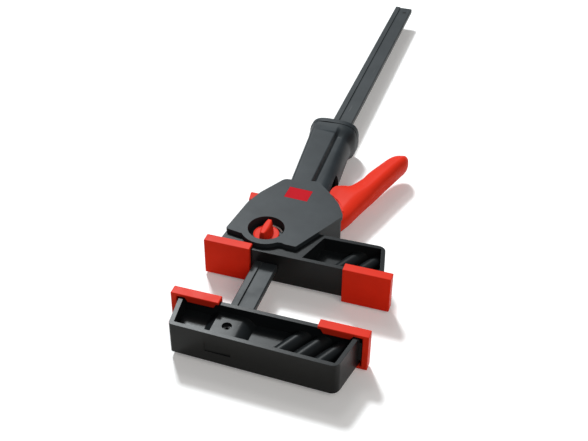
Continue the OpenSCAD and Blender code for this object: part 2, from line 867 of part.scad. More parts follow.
module clamp_brake_spring() {
    plate_y = clamp_brake_y - brake_plate_t / 2 + brake_shift;
    color("silver") translate([-spring_x, 0, -3])
        sleeve_y(spring_r, 0.7, slide_y + pocket_front + gap, plate_y - gap);
}

module spread_brake_spring() {
    color("silver") translate([-spring_x, 0, -3])
        sleeve_y(spring_r, 0.7, spread_brake_y + brake_plate_t / 2 + gap, bulkhead_y - rib_t - gap);
}

// ---- selector knob ----

knob_shaft_r = 4;
knob_disc_t = 2.1;
knob_rim_h = 0.35;
knob_rim_w = 0.9;
wing_half_l = knob_r - 0.6;
wing_out = 1.8;

// Sections of the knob's wing: height, half width at the middle, half width at the ends, cut at each end
knob_base = recess_floor + gap;
wing_foot = knob_base + knob_disc_t;
wing_top = rest_h + wing_out;
wing_sections = [
    [wing_foot - 0.5, 3.95, 2.3, 0], [wing_foot + 1, 3.95, 2.3, 0], [wing_foot + 2.6, 3.8, 2.2, 0.1],
    [wing_top - 1.8, 3.3, 2, 0.2], [wing_top - 0.6, 2.6, 1.8, 0.3], [wing_top, 1.9, 1.3, 0.8]
];

// A section's outline: widest at the middle of the wing
function wing_ring(s) =
    let(flank = [for (i = [-4:4]) [s[2] + (s[1] - s[2]) * cos(i * 22.5), (wing_half_l - s[3]) * i / 4]])
    concat([for (p = flank) [p.x, p.y, s[0]]], [for (p = flank) [-p.x, -p.y, s[0]]]);

module selector_knob() {
    color(red) translate([knob_at.x, knob_at.y, 0]) {
        translate([0, 0, knob_base]) difference() {
            cylinder(r = knob_r, h = knob_disc_t);
            translate([0, 0, knob_disc_t - knob_rim_h]) cylinder(r = knob_r - knob_rim_w, h = far);
        }
        translate([0, 0, cam_top]) cylinder(r = knob_shaft_r, h = knob_base - cam_top + eps);
        loft([for (s = wing_sections) wing_ring(s)]);
    }
}

cam_t = 1.9;
cam_r = 3.1;
cam_lobe = 4.5;
cam_lobe_half_w = 0.8;

module selector_cam() {
    top = cam_top - gap;
    color("silver") translate([knob_at.x, knob_at.y, top - cam_t]) {
        cylinder(r = cam_r, h = cam_t);
        intersection() {
            block([-cam_lobe_half_w, 0, 0], [cam_lobe_half_w, cam_lobe + 1, cam_t]);
            cylinder(r = cam_lobe, h = cam_t);
        }
    }
}

module selector_clip() {
    color("silver") translate([knob_at.x, knob_at.y, cam_top - gap]) cylinder(r = cam_r - 0.6, h = gap);
}

// ---- release button ----

function wall_x(y) = -32 + 5.2 * (y + 8.2) / 15.4;

module release_button() {
    half = button_w / 2;
    out_x = wall_x(button_y) - button_out;
    in_half = 6.4;
    wedge = [1.8, 1.3];
    color(red) {
        slab(-button_h / 2, button_h / 2) polygon(rounded([
            [out_x + 2, button_y - half, 2], [out_x, button_y + half, 3],
            [button_in_x, button_y + half, 0], [button_in_x, button_y - half, 0]]));
        slab(-in_half, in_half) polygon([
            [button_in_x, button_y], [button_in_x, -8], [arm_x[1], -12], [arm_x[1], arm_front_y + 4.5],
            [arm_tip_x, arm_front_y + 2.8], [arm_tip_x, arm_front_y + wedge.y],
            [arm_tip_x - wedge.x, arm_front_y], [arm_x[0], arm_front_y], [arm_x[0], -10],
            [button_in_x - 3, button_y]]);
    }
}

release_spring_y = -17.2;

module release_spring() {
    color("silver") translate([0, release_spring_y, 0])
        sleeve_x(1.8, 0.6, arm_x[1] + gap, -spring_x - spring_r - gap);
}

// ---- the assembly ----

module raised() {
    translate([0, 0, rest_h]) children();
}

raised() bar();
raised() bar_stop_pin();
raised() fixed_jaw();
raised() fixed_jaw_pin();
raised() fixed_heel_pad();
raised() fixed_toe_pad();
raised() sliding_jaw();
raised() sliding_heel_pad();
raised() sliding_toe_pad();
raised() upper_shell();
raised() lower_shell();
raised() end_collar();
raised() shell_screws();
raised() badge_plate();
raised() trigger_lever();
raised() lever_pivot_pins();
raised() lever_return_spring();
raised() clamp_drive_plates();
raised() spread_drive_plates();
raised() clamp_drive_spring();
raised() spread_drive_springs();
raised() clamp_brake_plate();
raised() spread_brake_plate();
raised() clamp_brake_spring();
raised() spread_brake_spring();
raised() selector_knob();
raised() selector_cam();
raised() selector_clip();
raised() release_button();
raised() release_spring();
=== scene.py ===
# %% [markdown]
# # A quick release bar clamp, dressed for a photograph
# The clamp is already drawn in metres as solid pieces, with every joint in its place. This lesson
# gives those pieces their moulded edges, their finishes and their light. New surfaces could be drawn
# anywhere and then pushed into place, but here the frame comes first, so that each one is worked out
# where its solid already sits.

# %% The frame
import json
import bmesh
import bpy
import numpy as np
from mathutils import Matrix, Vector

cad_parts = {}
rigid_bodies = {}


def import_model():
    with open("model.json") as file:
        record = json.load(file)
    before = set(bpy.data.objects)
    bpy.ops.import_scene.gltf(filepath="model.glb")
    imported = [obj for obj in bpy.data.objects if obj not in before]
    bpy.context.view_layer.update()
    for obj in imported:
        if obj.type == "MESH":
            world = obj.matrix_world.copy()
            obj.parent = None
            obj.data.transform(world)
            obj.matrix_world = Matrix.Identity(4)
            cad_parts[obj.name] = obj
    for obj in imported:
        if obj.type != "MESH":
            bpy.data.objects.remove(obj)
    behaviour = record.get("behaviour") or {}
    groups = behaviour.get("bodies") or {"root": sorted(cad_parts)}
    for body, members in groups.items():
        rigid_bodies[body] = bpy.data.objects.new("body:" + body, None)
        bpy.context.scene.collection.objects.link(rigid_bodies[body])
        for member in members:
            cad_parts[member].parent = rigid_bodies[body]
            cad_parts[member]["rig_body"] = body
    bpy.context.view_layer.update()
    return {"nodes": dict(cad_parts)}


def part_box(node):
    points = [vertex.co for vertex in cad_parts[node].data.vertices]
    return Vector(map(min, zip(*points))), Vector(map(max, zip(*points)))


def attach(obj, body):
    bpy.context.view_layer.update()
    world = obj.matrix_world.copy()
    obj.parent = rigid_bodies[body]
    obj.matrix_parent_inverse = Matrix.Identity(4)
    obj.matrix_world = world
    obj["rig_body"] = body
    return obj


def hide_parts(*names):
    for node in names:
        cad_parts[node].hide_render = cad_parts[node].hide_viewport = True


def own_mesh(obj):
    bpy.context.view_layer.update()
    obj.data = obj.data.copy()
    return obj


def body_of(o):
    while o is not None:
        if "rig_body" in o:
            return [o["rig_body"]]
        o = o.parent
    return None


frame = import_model()
nodes = frame["nodes"]
print("solids in the frame:", len(nodes))

# %% [markdown]
# ## The camera
# The clamp lies flat and is seen from a standing height, a little to the toe side. A camera could be
# nudged by hand until the picture looks right. Here its place, its aim and its slight roll were
# worked out from the corners of the jaws and the far end of the bar, because then the drawn clamp
# falls on the photographed one at both ends at once.

# %% Where the camera looks
MM = 0.001
REST = 16.75  # height of the clamp's middle plane, in millimetres like the other sizes here
CAMERA_AT = np.array([191.022, -584.707, 495.811])
CAMERA_AIM = np.array([2.613, 1.128, REST])
CAMERA_ROLL = 0.0081853  # in radians


def aimed_axes(at, aim, roll=0.0):
    """Right, up and back of a thing at one point that looks at another. Ahead is the unit arrow
    between them, right is level and square to it, down is square to both, and roll turns these two."""
    ahead = (aim - at) / np.linalg.norm(aim - at)
    right = np.cross(ahead, [0, 0, 1])
    right /= np.linalg.norm(right)
    down = np.cross(ahead, right)
    turned_right = np.cos(roll) * right - np.sin(roll) * down
    turned_down = np.sin(roll) * right + np.cos(roll) * down
    return turned_right, -turned_down, -ahead


print("distance from camera to clamp in mm:", round(float(np.linalg.norm(CAMERA_AIM - CAMERA_AT)), 1))

# %% The camera
FOCAL_PIXELS = 996.781
PHOTO_WIDTH = 588
SENSOR_WIDTH = 36
NEAREST, FARTHEST = 0.02, 20


def placed(name, data):
    """An object of that name that shows a mesh, a lamp or a camera, linked to the scene."""
    thing = bpy.data.objects.new(name, data)
    bpy.context.collection.objects.link(thing)
    return thing


def stand(thing, axes, place):
    """Turns a thing so that its right, up and back are these axes, and puts it at a place in metres."""
    pose = np.eye(4)
    pose[:3, :3] = np.stack(axes, axis=1)
    pose[:3, 3] = place
    thing.matrix_world = Matrix(pose.tolist())


lens = bpy.data.cameras.new("camera")
lens.sensor_fit = "HORIZONTAL"
lens.sensor_width = SENSOR_WIDTH
lens.lens = FOCAL_PIXELS * SENSOR_WIDTH / PHOTO_WIDTH
lens.clip_start = NEAREST
lens.clip_end = FARTHEST
camera = placed("camera", lens)
stand(camera, aimed_axes(CAMERA_AT, CAMERA_AIM, CAMERA_ROLL), CAMERA_AT * MM)
bpy.context.scene.camera = camera
print("focal length in mm:", round(lens.lens, 2))

# %% [markdown]
# ## Finishes
# Moulded plastic is never one flat colour. The mould's skin is etched with a fine grain, the colour
# drifts slowly across a big wall, and hands leave soft smears where the gloss changes. A picture could
# be wrapped round each piece, but it would stretch over the ridges. Noise that is counted in the
# object's own millimetres keeps its size everywhere, and as a node group with named inputs it can be
# shared by every finish.

# %% An empty group
def new_group(name, inputs, outputs):
    """An empty shader node group with named number inputs and outputs."""
    group = bpy.data.node_groups.new(name, "ShaderNodeTree")
    for label, value in inputs.items():
        socket = group.interface.new_socket(label, in_out="INPUT", socket_type="NodeSocketFloat")
        socket.default_value = value
    for label in outputs:
        group.interface.new_socket(label, in_out="OUTPUT", socket_type="NodeSocketFloat")
    group.nodes.new("NodeGroupInput")
    group.nodes.new("NodeGroupOutput")
    return group


grain = new_group("moulded_grain", {"Grain size mm": 0.35, "Drift size mm": 30.0}, ["Height", "Drift"])
marks = new_group("handling_marks", {"Smear size mm": 14.0, "Scratch size mm": 1.2}, ["Smear", "Scratch"])
print("groups:", [group.name for group in bpy.data.node_groups])


# %% Nodes and sums
def add(tree, kind, settings=None, **links):
    """A node of that kind. A link names an input, and is a number or another node's output. Where
    inputs share one name, a link is an underscore and the input's number."""
    node = tree.nodes.new(kind)
    for setting, value in (settings or {}).items():
        setattr(node, setting, value)
    for label, value in links.items():
        key = int(label[1:]) if label[0] == "_" else label.replace("_", " ")
        if isinstance(value, bpy.types.NodeSocket):
            tree.links.new(value, node.inputs[key])
        else:
            node.inputs[key].default_value = value
    return node


def maths(tree, operation, a, b):
    """The result of one sum on numbers or outputs."""
    return add(tree, "ShaderNodeMath", {"operation": operation}, _0=a, _1=b).outputs[0]


print("waves 1 mm long need a noise scale of", 1 / MM)


# %% The etched grain of a mould
def own_place(group):
    """The place of a point on its piece, in metres."""
    return group.nodes.new("ShaderNodeTexCoord").outputs["Object"]


def noise(group, size_input, where, **shape):
    """Noise with waves as long as an input of the group says: its scale is 1000 over that size."""
    scale = maths(group, "DIVIDE", 1 / MM, group.nodes["Group Input"].outputs[size_input])
    return add(group, "ShaderNodeTexNoise", Vector=where, Scale=scale, **shape).outputs["Fac"]


def put_out(group, **results):
    """Links each result to the group's output of that name."""
    for label, result in results.items():
        group.links.new(result, group.nodes["Group Output"].inputs[label])


fine = noise(grain, "Grain size mm", own_place(grain), Detail=2.0, Roughness=0.6)
slow = noise(grain, "Drift size mm", own_place(grain), Detail=3.0, Roughness=0.55)
put_out(grain, Height=fine, Drift=slow)
print("grain group:", len(grain.nodes), "nodes")

# %% Smears and hairline scratches from handling
smear = noise(marks, "Smear size mm", own_place(marks), Detail=4.0, Roughness=0.6, Distortion=0.6)
smear_soft = add(marks, "ShaderNodeMapRange", Value=smear, From_Min=0.42, From_Max=0.68)
stretched = add(marks, "ShaderNodeMapping", Vector=own_place(marks), Rotation=(0.2, 0.3, 0.9),
                Scale=(1.0, 0.06, 1.0))
scratch = noise(marks, "Scratch size mm", stretched.outputs[0], Detail=1.0)
scratch_thin = add(marks, "ShaderNodeMapRange", Value=scratch, From_Min=0.7, From_Max=0.78)
put_out(marks, Smear=smear_soft.outputs[0], Scratch=scratch_thin.outputs[0])
print("marks group:", len(marks.nodes), "nodes")


# %% Colours written as they look
def colour(red, green, blue):
    """A colour given as 0 to 255, made linear by a screen's curve: a short straight start, then a
    power of 2.4."""
    c = np.array([red, green, blue]) / 255
    linear = np.where(c <= 0.04045, c / 12.92, ((c + 0.055) / 1.055) ** 2.4)
    return (*[float(v) for v in linear], 1.0)


print("half grey in linear light:", round(colour(128, 128, 128)[0], 3))

# %% [markdown]
# ## One recipe for plastics and metals
# A finish here is a Principled shader. Its colour moves between two close tones with the slow drift,
# its roughness rises in the smears, and the grain pushes the surface in and out by a few hundredths
# of a millimetre. Each material could have nodes of its own, but metals use the same recipe with a
# metallic share, because then the whole clamp answers the light in one way.

# %% The recipe
SCRATCH_SHARE = 0.5


def finish(name, tone, tone_2, rough, rough_smear=0.08, grain_mm=0.35, drift_mm=30.0, bump=0.03,
           metallic=0.0, scratch_tone=None, specular=0.5):
    """A material: tone and tone_2 are mixed by the drift, and the grain is bump millimetres deep."""
    material = bpy.data.materials.new(name)
    material.use_nodes = True
    tree = material.node_tree
    shader = tree.nodes["Principled BSDF"]
    skin = add(tree, "ShaderNodeGroup", {"node_tree": grain})
    skin.inputs["Grain size mm"].default_value = grain_mm
    skin.inputs["Drift size mm"].default_value = drift_mm
    touch = add(tree, "ShaderNodeGroup", {"node_tree": marks})
    drift = add(tree, "ShaderNodeMapRange", Value=skin.outputs["Drift"], From_Min=0.35, From_Max=0.65)
    base = add(tree, "ShaderNodeMix", {"data_type": "RGBA"}, _0=drift.outputs[0], _6=tone, _7=tone_2)
    scratched = add(tree, "ShaderNodeMix", {"data_type": "RGBA"}, _6=base.outputs[2],
                    _7=scratch_tone or tone_2)
    strength = maths(tree, "MULTIPLY", touch.outputs["Scratch"], SCRATCH_SHARE if scratch_tone else 0.0)
    tree.links.new(strength, scratched.inputs[0])
    tree.links.new(scratched.outputs[2], shader.inputs["Base Color"])
    smeared = maths(tree, "MULTIPLY", touch.outputs["Smear"], rough_smear)
    tree.links.new(maths(tree, "ADD", smeared, rough), shader.inputs["Roughness"])
    relief = add(tree, "ShaderNodeBump", Height=skin.outputs["Height"], Strength=1.0,
                 Distance=bump * MM)
    tree.links.new(relief.outputs["Normal"], shader.inputs["Normal"])
    shader.inputs["Metallic"].default_value = metallic
    shader.inputs["Specular IOR Level"].default_value = specular
    return material


housing_skin = finish("housing_plastic", colour(33, 39, 43), colour(43, 49, 53), 0.45, rough_smear=0.04,
                      bump=0.035, specular=0.17)
print("nodes in the housing's finish:", len(housing_skin.node_tree.nodes))

# %% The clamp's other finishes
jaw_skin = finish("jaw_plastic", colour(23, 26, 28), colour(27, 30, 32), 0.31, rough_smear=0.03,
                  bump=0.02, specular=0.13)
red_skin = finish("red_plastic", colour(222, 50, 30), colour(214, 46, 27), 0.4, bump=0.012,
                  grain_mm=0.5, specular=0.07)
bar_skin = finish("bar_paint", colour(50, 55, 58), colour(44, 49, 52), 0.45, bump=0.03, grain_mm=0.6,
                  scratch_tone=colour(90, 92, 92), specular=0.2)
badge_skin = finish("badge_enamel", colour(186, 14, 30), colour(180, 12, 28), 0.5, bump=0.002,
                    specular=0.03)
mark_skin = finish("pale_arc_finish", colour(235, 232, 226), colour(228, 224, 218), 0.5, bump=0.005,
                   specular=0.2)
steel_skin = finish("zinc_steel", colour(170, 172, 176), colour(150, 152, 158), 0.3, bump=0.008,
                    drift_mm=6.0, metallic=1.0)
pin_skin = finish("black_oxide", colour(24, 24, 25), colour(18, 18, 19), 0.5, bump=0.005, specular=0.2)
plate_skin = finish("blackened_plate", colour(92, 94, 98), colour(74, 76, 80), 0.42, bump=0.01,
                    drift_mm=9.0, metallic=1.0)
print("finishes:", len(bpy.data.materials))

# %% Which solid has which finish
NODES_WITH = [
    (bar_skin, ["bar"]),
    (badge_skin, ["badge_plate"]),
    (housing_skin, ["upper_shell", "lower_shell", "end_collar"]),
    (jaw_skin, ["fixed_jaw", "sliding_jaw"]),
    (plate_skin, ["clamp_drive_plates", "spread_drive_plates", "clamp_brake_plate",
                  "spread_brake_plate"]),
    (pin_skin, ["fixed_jaw_pin", "bar_stop_pin"]),
    (red_skin, ["fixed_heel_pad", "fixed_toe_pad", "sliding_heel_pad", "sliding_toe_pad",
                "trigger_lever", "selector_knob", "release_button"]),
]
finish_of = {name: skin for skin, names in NODES_WITH for name in names}
for name, node in nodes.items():
    node.data.materials.clear()
    node.data.materials.append(finish_of.get(name, steel_skin))
print("solids of bare steel:", len(nodes) - len(finish_of))

# %% [markdown]
# ## Moulded edges
# A solid's edge is a perfect corner, and a perfect corner catches no light, while a real moulding has
# a small round there. Subdivision would round the edges too, but it also swells what should stay flat.
# So a copy of the solid has its loose triangles merged and its flat faces joined, and a Bevel modifier
# rounds each sharp edge. A Weighted Normal modifier after it lets the large faces lead the shading,
# because light that bends across them would make a flat wall look dented.

# %% Rounds on sharp edges
ROUND_SEGMENTS = 3
AREA_WEIGHT = 50  # the neutral value: each face counts by its area


def soften(piece, radius_mm, corner=40.0):
    """A round of that radius on each edge sharper than corner degrees. The shading at a point is the
    mean of its faces' directions, each counted by its area."""
    bevel = piece.modifiers.new("rounds", "BEVEL")
    bevel.width = radius_mm * MM
    bevel.segments = ROUND_SEGMENTS
    bevel.limit_method = "ANGLE"
    bevel.angle_limit = np.radians(corner)
    flats = piece.modifiers.new("flats", "WEIGHTED_NORMAL")
    flats.weight = AREA_WEIGHT


print("a round has", ROUND_SEGMENTS, "strips of faces")

# %% A rounded copy of a solid
WELD_MM = 0.002
FLAT_DEGREES = 0.6
SOLID_CORNER = 35.0


def rounded_copy(name, radius_mm):
    """A copy of a node: points that lie together are welded, faces that lie flat to each other are
    joined, and the edges get a round of that radius."""
    mesh = nodes[name].data.copy()
    work = bmesh.new()
    work.from_mesh(mesh)
    bmesh.ops.remove_doubles(work, verts=work.verts, dist=WELD_MM * MM)
    bmesh.ops.dissolve_limit(work, angle_limit=np.radians(FLAT_DEGREES), verts=work.verts,
                             edges=work.edges)
    work.to_mesh(mesh)
    work.free()
    mesh.shade_smooth()
    piece = placed(name + "_moulded", mesh)
    soften(piece, radius_mm, SOLID_CORNER)
    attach(piece, body_of(nodes[name])[0])
    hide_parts(name)
    return piece


ROUNDS = {
    "fixed_jaw": 0.7, "sliding_jaw": 0.7, "upper_shell": 0.6, "lower_shell": 0.5, "end_collar": 0.8,
    "bar": 0.35, "badge_plate": 0.15,
    "fixed_heel_pad": 0.9, "fixed_toe_pad": 0.9, "sliding_heel_pad": 0.9, "sliding_toe_pad": 0.9,
    "clamp_drive_plates": 0.25, "spread_drive_plates": 0.25, "clamp_brake_plate": 0.25,
    "spread_brake_plate": 0.25,
}
for name, radius in ROUNDS.items():
    piece = rounded_copy(name, radius)
    print(name, len(piece.data.polygons), "faces")

# %% [markdown]
# ## Skins from numbers
# The lever, the knob, the button and the springs have curves that a rounded solid doesn't show. They
# could be modelled by pushing points about. Here they are grids of points: a closed section is carried
# from one station to the next, and the two ends are closed. A cubic curve through a few chosen rows
# gives the rows between them, so that a handful of measured sections becomes a smooth moulding.

# %% Rows along a curve
def smooth_rows(rows, steps):
    """Rows between the given ones, along the cubic that leaves each row parallel to its neighbours."""
    rows = np.asarray(rows, float)
    wide = np.concatenate([2 * rows[:1] - rows[1:2], rows, 2 * rows[-1:] - rows[-2:-1]])
    before, here, there, after = (wide[k:k + len(rows) - 1, None] for k in range(4))
    t = np.arange(steps)[None, :, None] / steps
    bend = 2 * before - 5 * here + 4 * there - after + t * (3 * (here - there) + after - before)
    curve = here + 0.5 * t * (there - before + t * bend)
    return np.concatenate([curve.reshape(-1, rows.shape[1]), rows[-1:]])


print("five rows give", len(smooth_rows(np.eye(5), 4)))


# %% The faces of a closed skin
def ring_faces(count, around, first):
    """Four-sided faces between count rings of around points, and one face on each end. Point k of a
    ring is joined to point k of the next, and the last point of a ring to its first."""
    index = first + np.arange(count * around).reshape(count, around)
    turned = np.roll(index, -1, axis=1)
    quads = np.stack([index[:-1], turned[:-1], turned[1:], index[1:]], axis=-1).reshape(-1, 4)
    return quads.tolist() + [index[0][::-1].tolist(), index[-1].tolist()]


print("two rings of four points give", len(ring_faces(2, 4, 0)), "faces")

# %% A piece from closed skins
SKIN_WELD_MM = 0.0005


def skin_piece(name, shells, skin, body, *replaced, slot):
    """One object from closed shells, each an array of rings, points and coordinates in millimetres
    from the clamp's middle plane."""
    points = np.concatenate([shell.reshape(-1, 3) for shell in shells]) + [0, 0, REST]
    faces = []
    first = 0
    for shell in shells:
        faces += ring_faces(shell.shape[0], shell.shape[1], first)
        first += shell.shape[0] * shell.shape[1]
    mesh = bpy.data.meshes.new(name)
    mesh.from_pydata((points * MM).tolist(), [], faces)
    work = bmesh.new()
    work.from_mesh(mesh)
    bmesh.ops.remove_doubles(work, verts=work.verts, dist=SKIN_WELD_MM * MM)
    bmesh.ops.recalc_face_normals(work, faces=work.faces)
    work.to_mesh(mesh)
    work.free()
    mesh.materials.append(skin)
    mesh.shade_smooth()
    piece = placed(name, mesh)
    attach(piece, body)
    if replaced:
        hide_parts(*replaced)
    print(name, len(mesh.polygons), "faces")
    return piece


print("points closer than this are welded, in mm:", SKIN_WELD_MM)


# %% Blocks with an outline
def rectangle(left, near, right, far):
    """The four corners of a rectangle that lies square to x and y."""
    return [[left, near], [right, near], [right, far], [left, far]]


def prism(outline, low, high):
    """A block's two rings: its outline at two heights."""
    flat = np.asarray(outline, float)
    return np.stack([np.c_[flat, np.full(len(flat), z)] for z in (low, high)])


print("a prism's rings, points and coordinates:", prism(rectangle(0, 0, 1, 1), 0, 1).shape)

# %% [markdown]
# ## The trigger lever
# The lever is one thick red moulding. It leaves the housing as a broad flat root, narrows to a neck
# and then runs out as a finger grip with a soft ridge on each face and a round tip. A rounded block
# would lose the ridge, so its sections were measured from the photograph: an inner edge, an outer
# edge, a height and the height of the inner shoulder. The section itself is one line of shares, from
# the inner edge over the ridge to the outer edge, mirrored for the lower face. The root ends in a fork
# round the bar, hidden in the housing, and a thin lip on each face follows the housing's edge.

# %% The lever's sections
LEVER_HALF = 8.9
STEPS_ALONG, STEPS_ACROSS = 5, 3
SHOULDER_TO, SHOULDER_ABOVE = 0.5, 0.3
# Inner edge x and y, outer edge x and y, and the shares of LEVER_HALF at the ridge and the shoulder.
SECTIONS = [
    [19, 9.5, 34.5, -5, 0.9, 0.9], [20.6, 19, 39.6, 2.2, 0.9, 0.9], [20, 27, 44.3, 12.8, 0.93, 0.88],
    [20.9, 38.5, 48, 26, 0.98, 0.82], [23.2, 46, 51, 36.5, 1, 0.8], [29.5, 49.6, 53.8, 45.5, 1, 0.75],
    [33.8, 51.5, 55.5, 51.5, 1, 0.7], [37.2, 58, 57.6, 59, 1, 0.6], [40.4, 66.5, 60, 67.5, 1, 0.5],
    [42.6, 75, 63, 77, 1, 0.3], [48.1, 89, 67, 90, 0.99, 0], [53, 100.5, 69.7, 98.5, 0.97, 0],
    [56.4, 106.2, 70.3, 103.6, 0.86, 0], [59.2, 109.6, 69.5, 107.4, 0.66, 0],
    [61.3, 110.9, 68.2, 109.4, 0.5, 0], [63, 111.5, 66.9, 110.6, 0.33, 0],
    [64.2, 111.7, 65.8, 111.3, 0.17, 0],
]
# The share of the way from inner to outer edge, and the share of the section's height there.
PROFILE = [
    [0, 0], [0, 0.22], [0.008, 0.42], [0.05, 0.6], [0.18, 0.76], [0.42, 0.9], [0.6, 0.985],
    [0.66, 1], [0.72, 0.985], [0.82, 0.9], [0.93, 0.68], [0.985, 0.38], [1, 0],
]
sections = smooth_rows(SECTIONS, STEPS_ALONG)
profile = smooth_rows(PROFILE, STEPS_ACROSS)
print("sections and points across:", len(sections), len(profile))

# %% The lever's blade
# A point lies at its share of the way from the inner to the outer edge. It is as high as the profile
# or the shoulder, whichever is higher, times the height of its section.
share, height = profile[:, 0], np.clip(profile[:, 1], 0, 1)
inner_edge, outer_edge = sections[:, None, 0:2], sections[:, None, 2:4]
on_shoulder = (share < SHOULDER_TO) & (height > SHOULDER_ABOVE)
shoulder = np.where(on_shoulder, sections[:, 5:6], 0)
upper_z = LEVER_HALF * sections[:, 4:5] * np.maximum(height, shoulder)
upper_xy = inner_edge + (outer_edge - inner_edge) * share[None, :, None]
upper = np.concatenate([upper_xy, upper_z[..., None]], axis=-1)
lower = upper[:, -2:0:-1] * [1, 1, -1]
blade = np.concatenate([upper, lower], axis=1)
print("blade:", blade.shape)

# %% The root and the fork round the bar
# The fork's inner and outer half width, its half length and its half height, and the half height of
# the room that it leaves for the bar.
FORK_IN, FORK_OUT, FORK_LONG, FORK_HALF = 11.5, 15.5, 8.4, 8.5
BAR_CLEAR = 3.75
root = [[FORK_IN, -FORK_LONG], [24, -FORK_LONG], [31, -6], [33, -3], [34, 1], [33.5, 6], [32, 12],
        [21.5, 24], [20, 22], [19, 15.5], [17.6, FORK_LONG], [FORK_IN, FORK_LONG]]
leg = rectangle(-FORK_OUT, -FORK_LONG, -FORK_IN, FORK_LONG)
bridge = rectangle(-FORK_OUT, -FORK_LONG, FORK_OUT, FORK_LONG)
fork = [prism(root, -FORK_HALF, FORK_HALF), prism(leg, -FORK_HALF, FORK_HALF),
        prism(bridge, BAR_CLEAR, FORK_HALF), prism(bridge, -FORK_HALF, -BAR_CLEAR)]
print("blocks of the fork:", len(fork))

# %% The lip and the whole lever
PIVOT = (0, 0)
ARC_STEPS = 40
LIP_R, LIP_W, LIP_HALF = 40.8, 0.7, 0.5
# The height of the lip's middle, and the two angles between which it runs.
LIP_RUNS = ((8.0, 20, 44), (7.3, 43, 57))


def arc_strip(centre, radius, width, low, high, start, stop):
    """A flat strip bent round a centre: a small rectangle carried through angles start to stop."""
    angle = np.radians(np.linspace(start, stop, ARC_STEPS))[:, None]
    reach = radius + width * np.array([-0.5, 0.5, 0.5, -0.5])
    level = np.broadcast_to(np.array([low, low, high, high]), (ARC_STEPS, 4))
    return np.stack([centre[0] + reach * np.cos(angle), centre[1] + reach * np.sin(angle), level],
                    axis=-1)


lip = [arc_strip(PIVOT, LIP_R, LIP_W, side * level - LIP_HALF, side * level + LIP_HALF, start, stop)
       for side in (1, -1) for level, start, stop in LIP_RUNS]
lever = skin_piece("lever_moulding", [blade] + fork + lip, red_skin, "trigger", "trigger_lever",
                   slot="red_plastic")
soften(lever, radius_mm=0.35)

# %% [markdown]
# ## The selector knob
# The knob is a shallow disc with a raised rim, and a wing across it for the fingers. Seen from above,
# the wing is widest in its middle; seen from its end, its flanks lean in towards a narrow flat top.
# A plain bar on the disc would miss both, and two numbers per height, the half width in the middle
# and at the ends, are enough to describe them.

# %% The knob's wing
KNOB = np.array([-7.8, -34.3])  # x and y of its middle
KNOB_R = 9.8
WING_LONG = KNOB_R - 0.6
WING_STEPS, SWEEP_POINTS = 3, 21
END_PINCH, END_POWER = 0.25, 8
# The height, the half width in the middle and at the ends, and how much the wing is shortened there.
WING = [
    [10.9, 4.9, 2.5, 0], [11.4, 4.8, 2.4, 0], [12.4, 4.5, 2.3, 0], [14, 4.1, 2.2, 0.1],
    [16.6, 3.3, 2, 0.25], [17.8, 2.6, 1.8, 0.4], [18.3, 2.1, 1.5, 0.7], [18.5, 1.4, 0.9, 1.2],
]
# The half width falls as a cosine from the middle to the ends, and a steep power pinches the ends.
wing_rows = smooth_rows(WING, WING_STEPS)
wing_height, middle_half, end_half, shorter = wing_rows.T[:, :, None]
sweep = np.linspace(-1, 1, SWEEP_POINTS)
end_round = 1 - END_PINCH * sweep ** END_POWER
flank = (end_half + (middle_half - end_half) * np.cos(np.pi / 2 * sweep)) * end_round
along = (WING_LONG - shorter) * sweep
half_ring = np.stack([flank, along, np.broadcast_to(wing_height, flank.shape)], axis=-1)
wing = np.concatenate([half_ring, half_ring * [-1, -1, 1]], axis=1) + [*KNOB, 0]
print("wing:", wing.shape)

# %% The knob's disc
LATHE_STEPS = 96
# Radius and height, from the foot over the rim to the middle of the face.
DISC = [[4, 7.3], [4, 9.34], [9.5, 9.35], [KNOB_R, 9.6], [KNOB_R, 11.15], [9.66, 11.38], [9.4, 11.45],
        [9.1, 11.38], [8.9, 11.15], [8.7, 11.08], [5, 11.08], [1, 11.08]]


def lathe(outline, centre):
    """An outline of radius and height turned round an upright line: ring k is the outline's row k."""
    angle = np.linspace(0, 2 * np.pi, LATHE_STEPS, endpoint=False)
    radius, level = np.asarray(outline, float).T[:, :, None]
    return np.stack([centre[0] + radius * np.cos(angle), centre[1] + radius * np.sin(angle),
                     np.broadcast_to(level, (len(outline), LATHE_STEPS))], axis=-1)


knob = skin_piece("knob_moulding", [wing, lathe(DISC, KNOB)], red_skin, "selector", "selector_knob",
                  slot="red_plastic")
soften(knob, radius_mm=0.2, corner=50)

# %% [markdown]
# ## The mark beside the knob
# A short pale arc stands on the recess's floor round the back of the disc, on its toe side. It could be a
# mask in the plastic's material, but a mask blurs when the materials are baked. A thin strip that stands
# out of the floor by three quarters of a millimetre keeps a clean edge.

# %% The mark
MARK_R, MARK_W = 12.6, 1.2
MARK_FOOT, MARK_TOP = 8.9, 9.8
MARK_START, MARK_STOP = 36, 90
arc_mark = arc_strip(KNOB, MARK_R, MARK_W, MARK_FOOT, MARK_TOP, MARK_START, MARK_STOP)
skin_piece("knob_mark", [arc_mark], mark_skin, "housing", slot="dark_plastic")

# %% [markdown]
# ## The bar's line
# A narrow line runs along each face of the bar, between its raised strip and its lower face. In the
# photograph it is hardly deeper than that face, as if paint had filled it. A Bevel modifier rounds a
# groove but can't fill it, so a thin rod of the same paint lies in the solid's line, and what still
# shows is mostly the step of the strip.

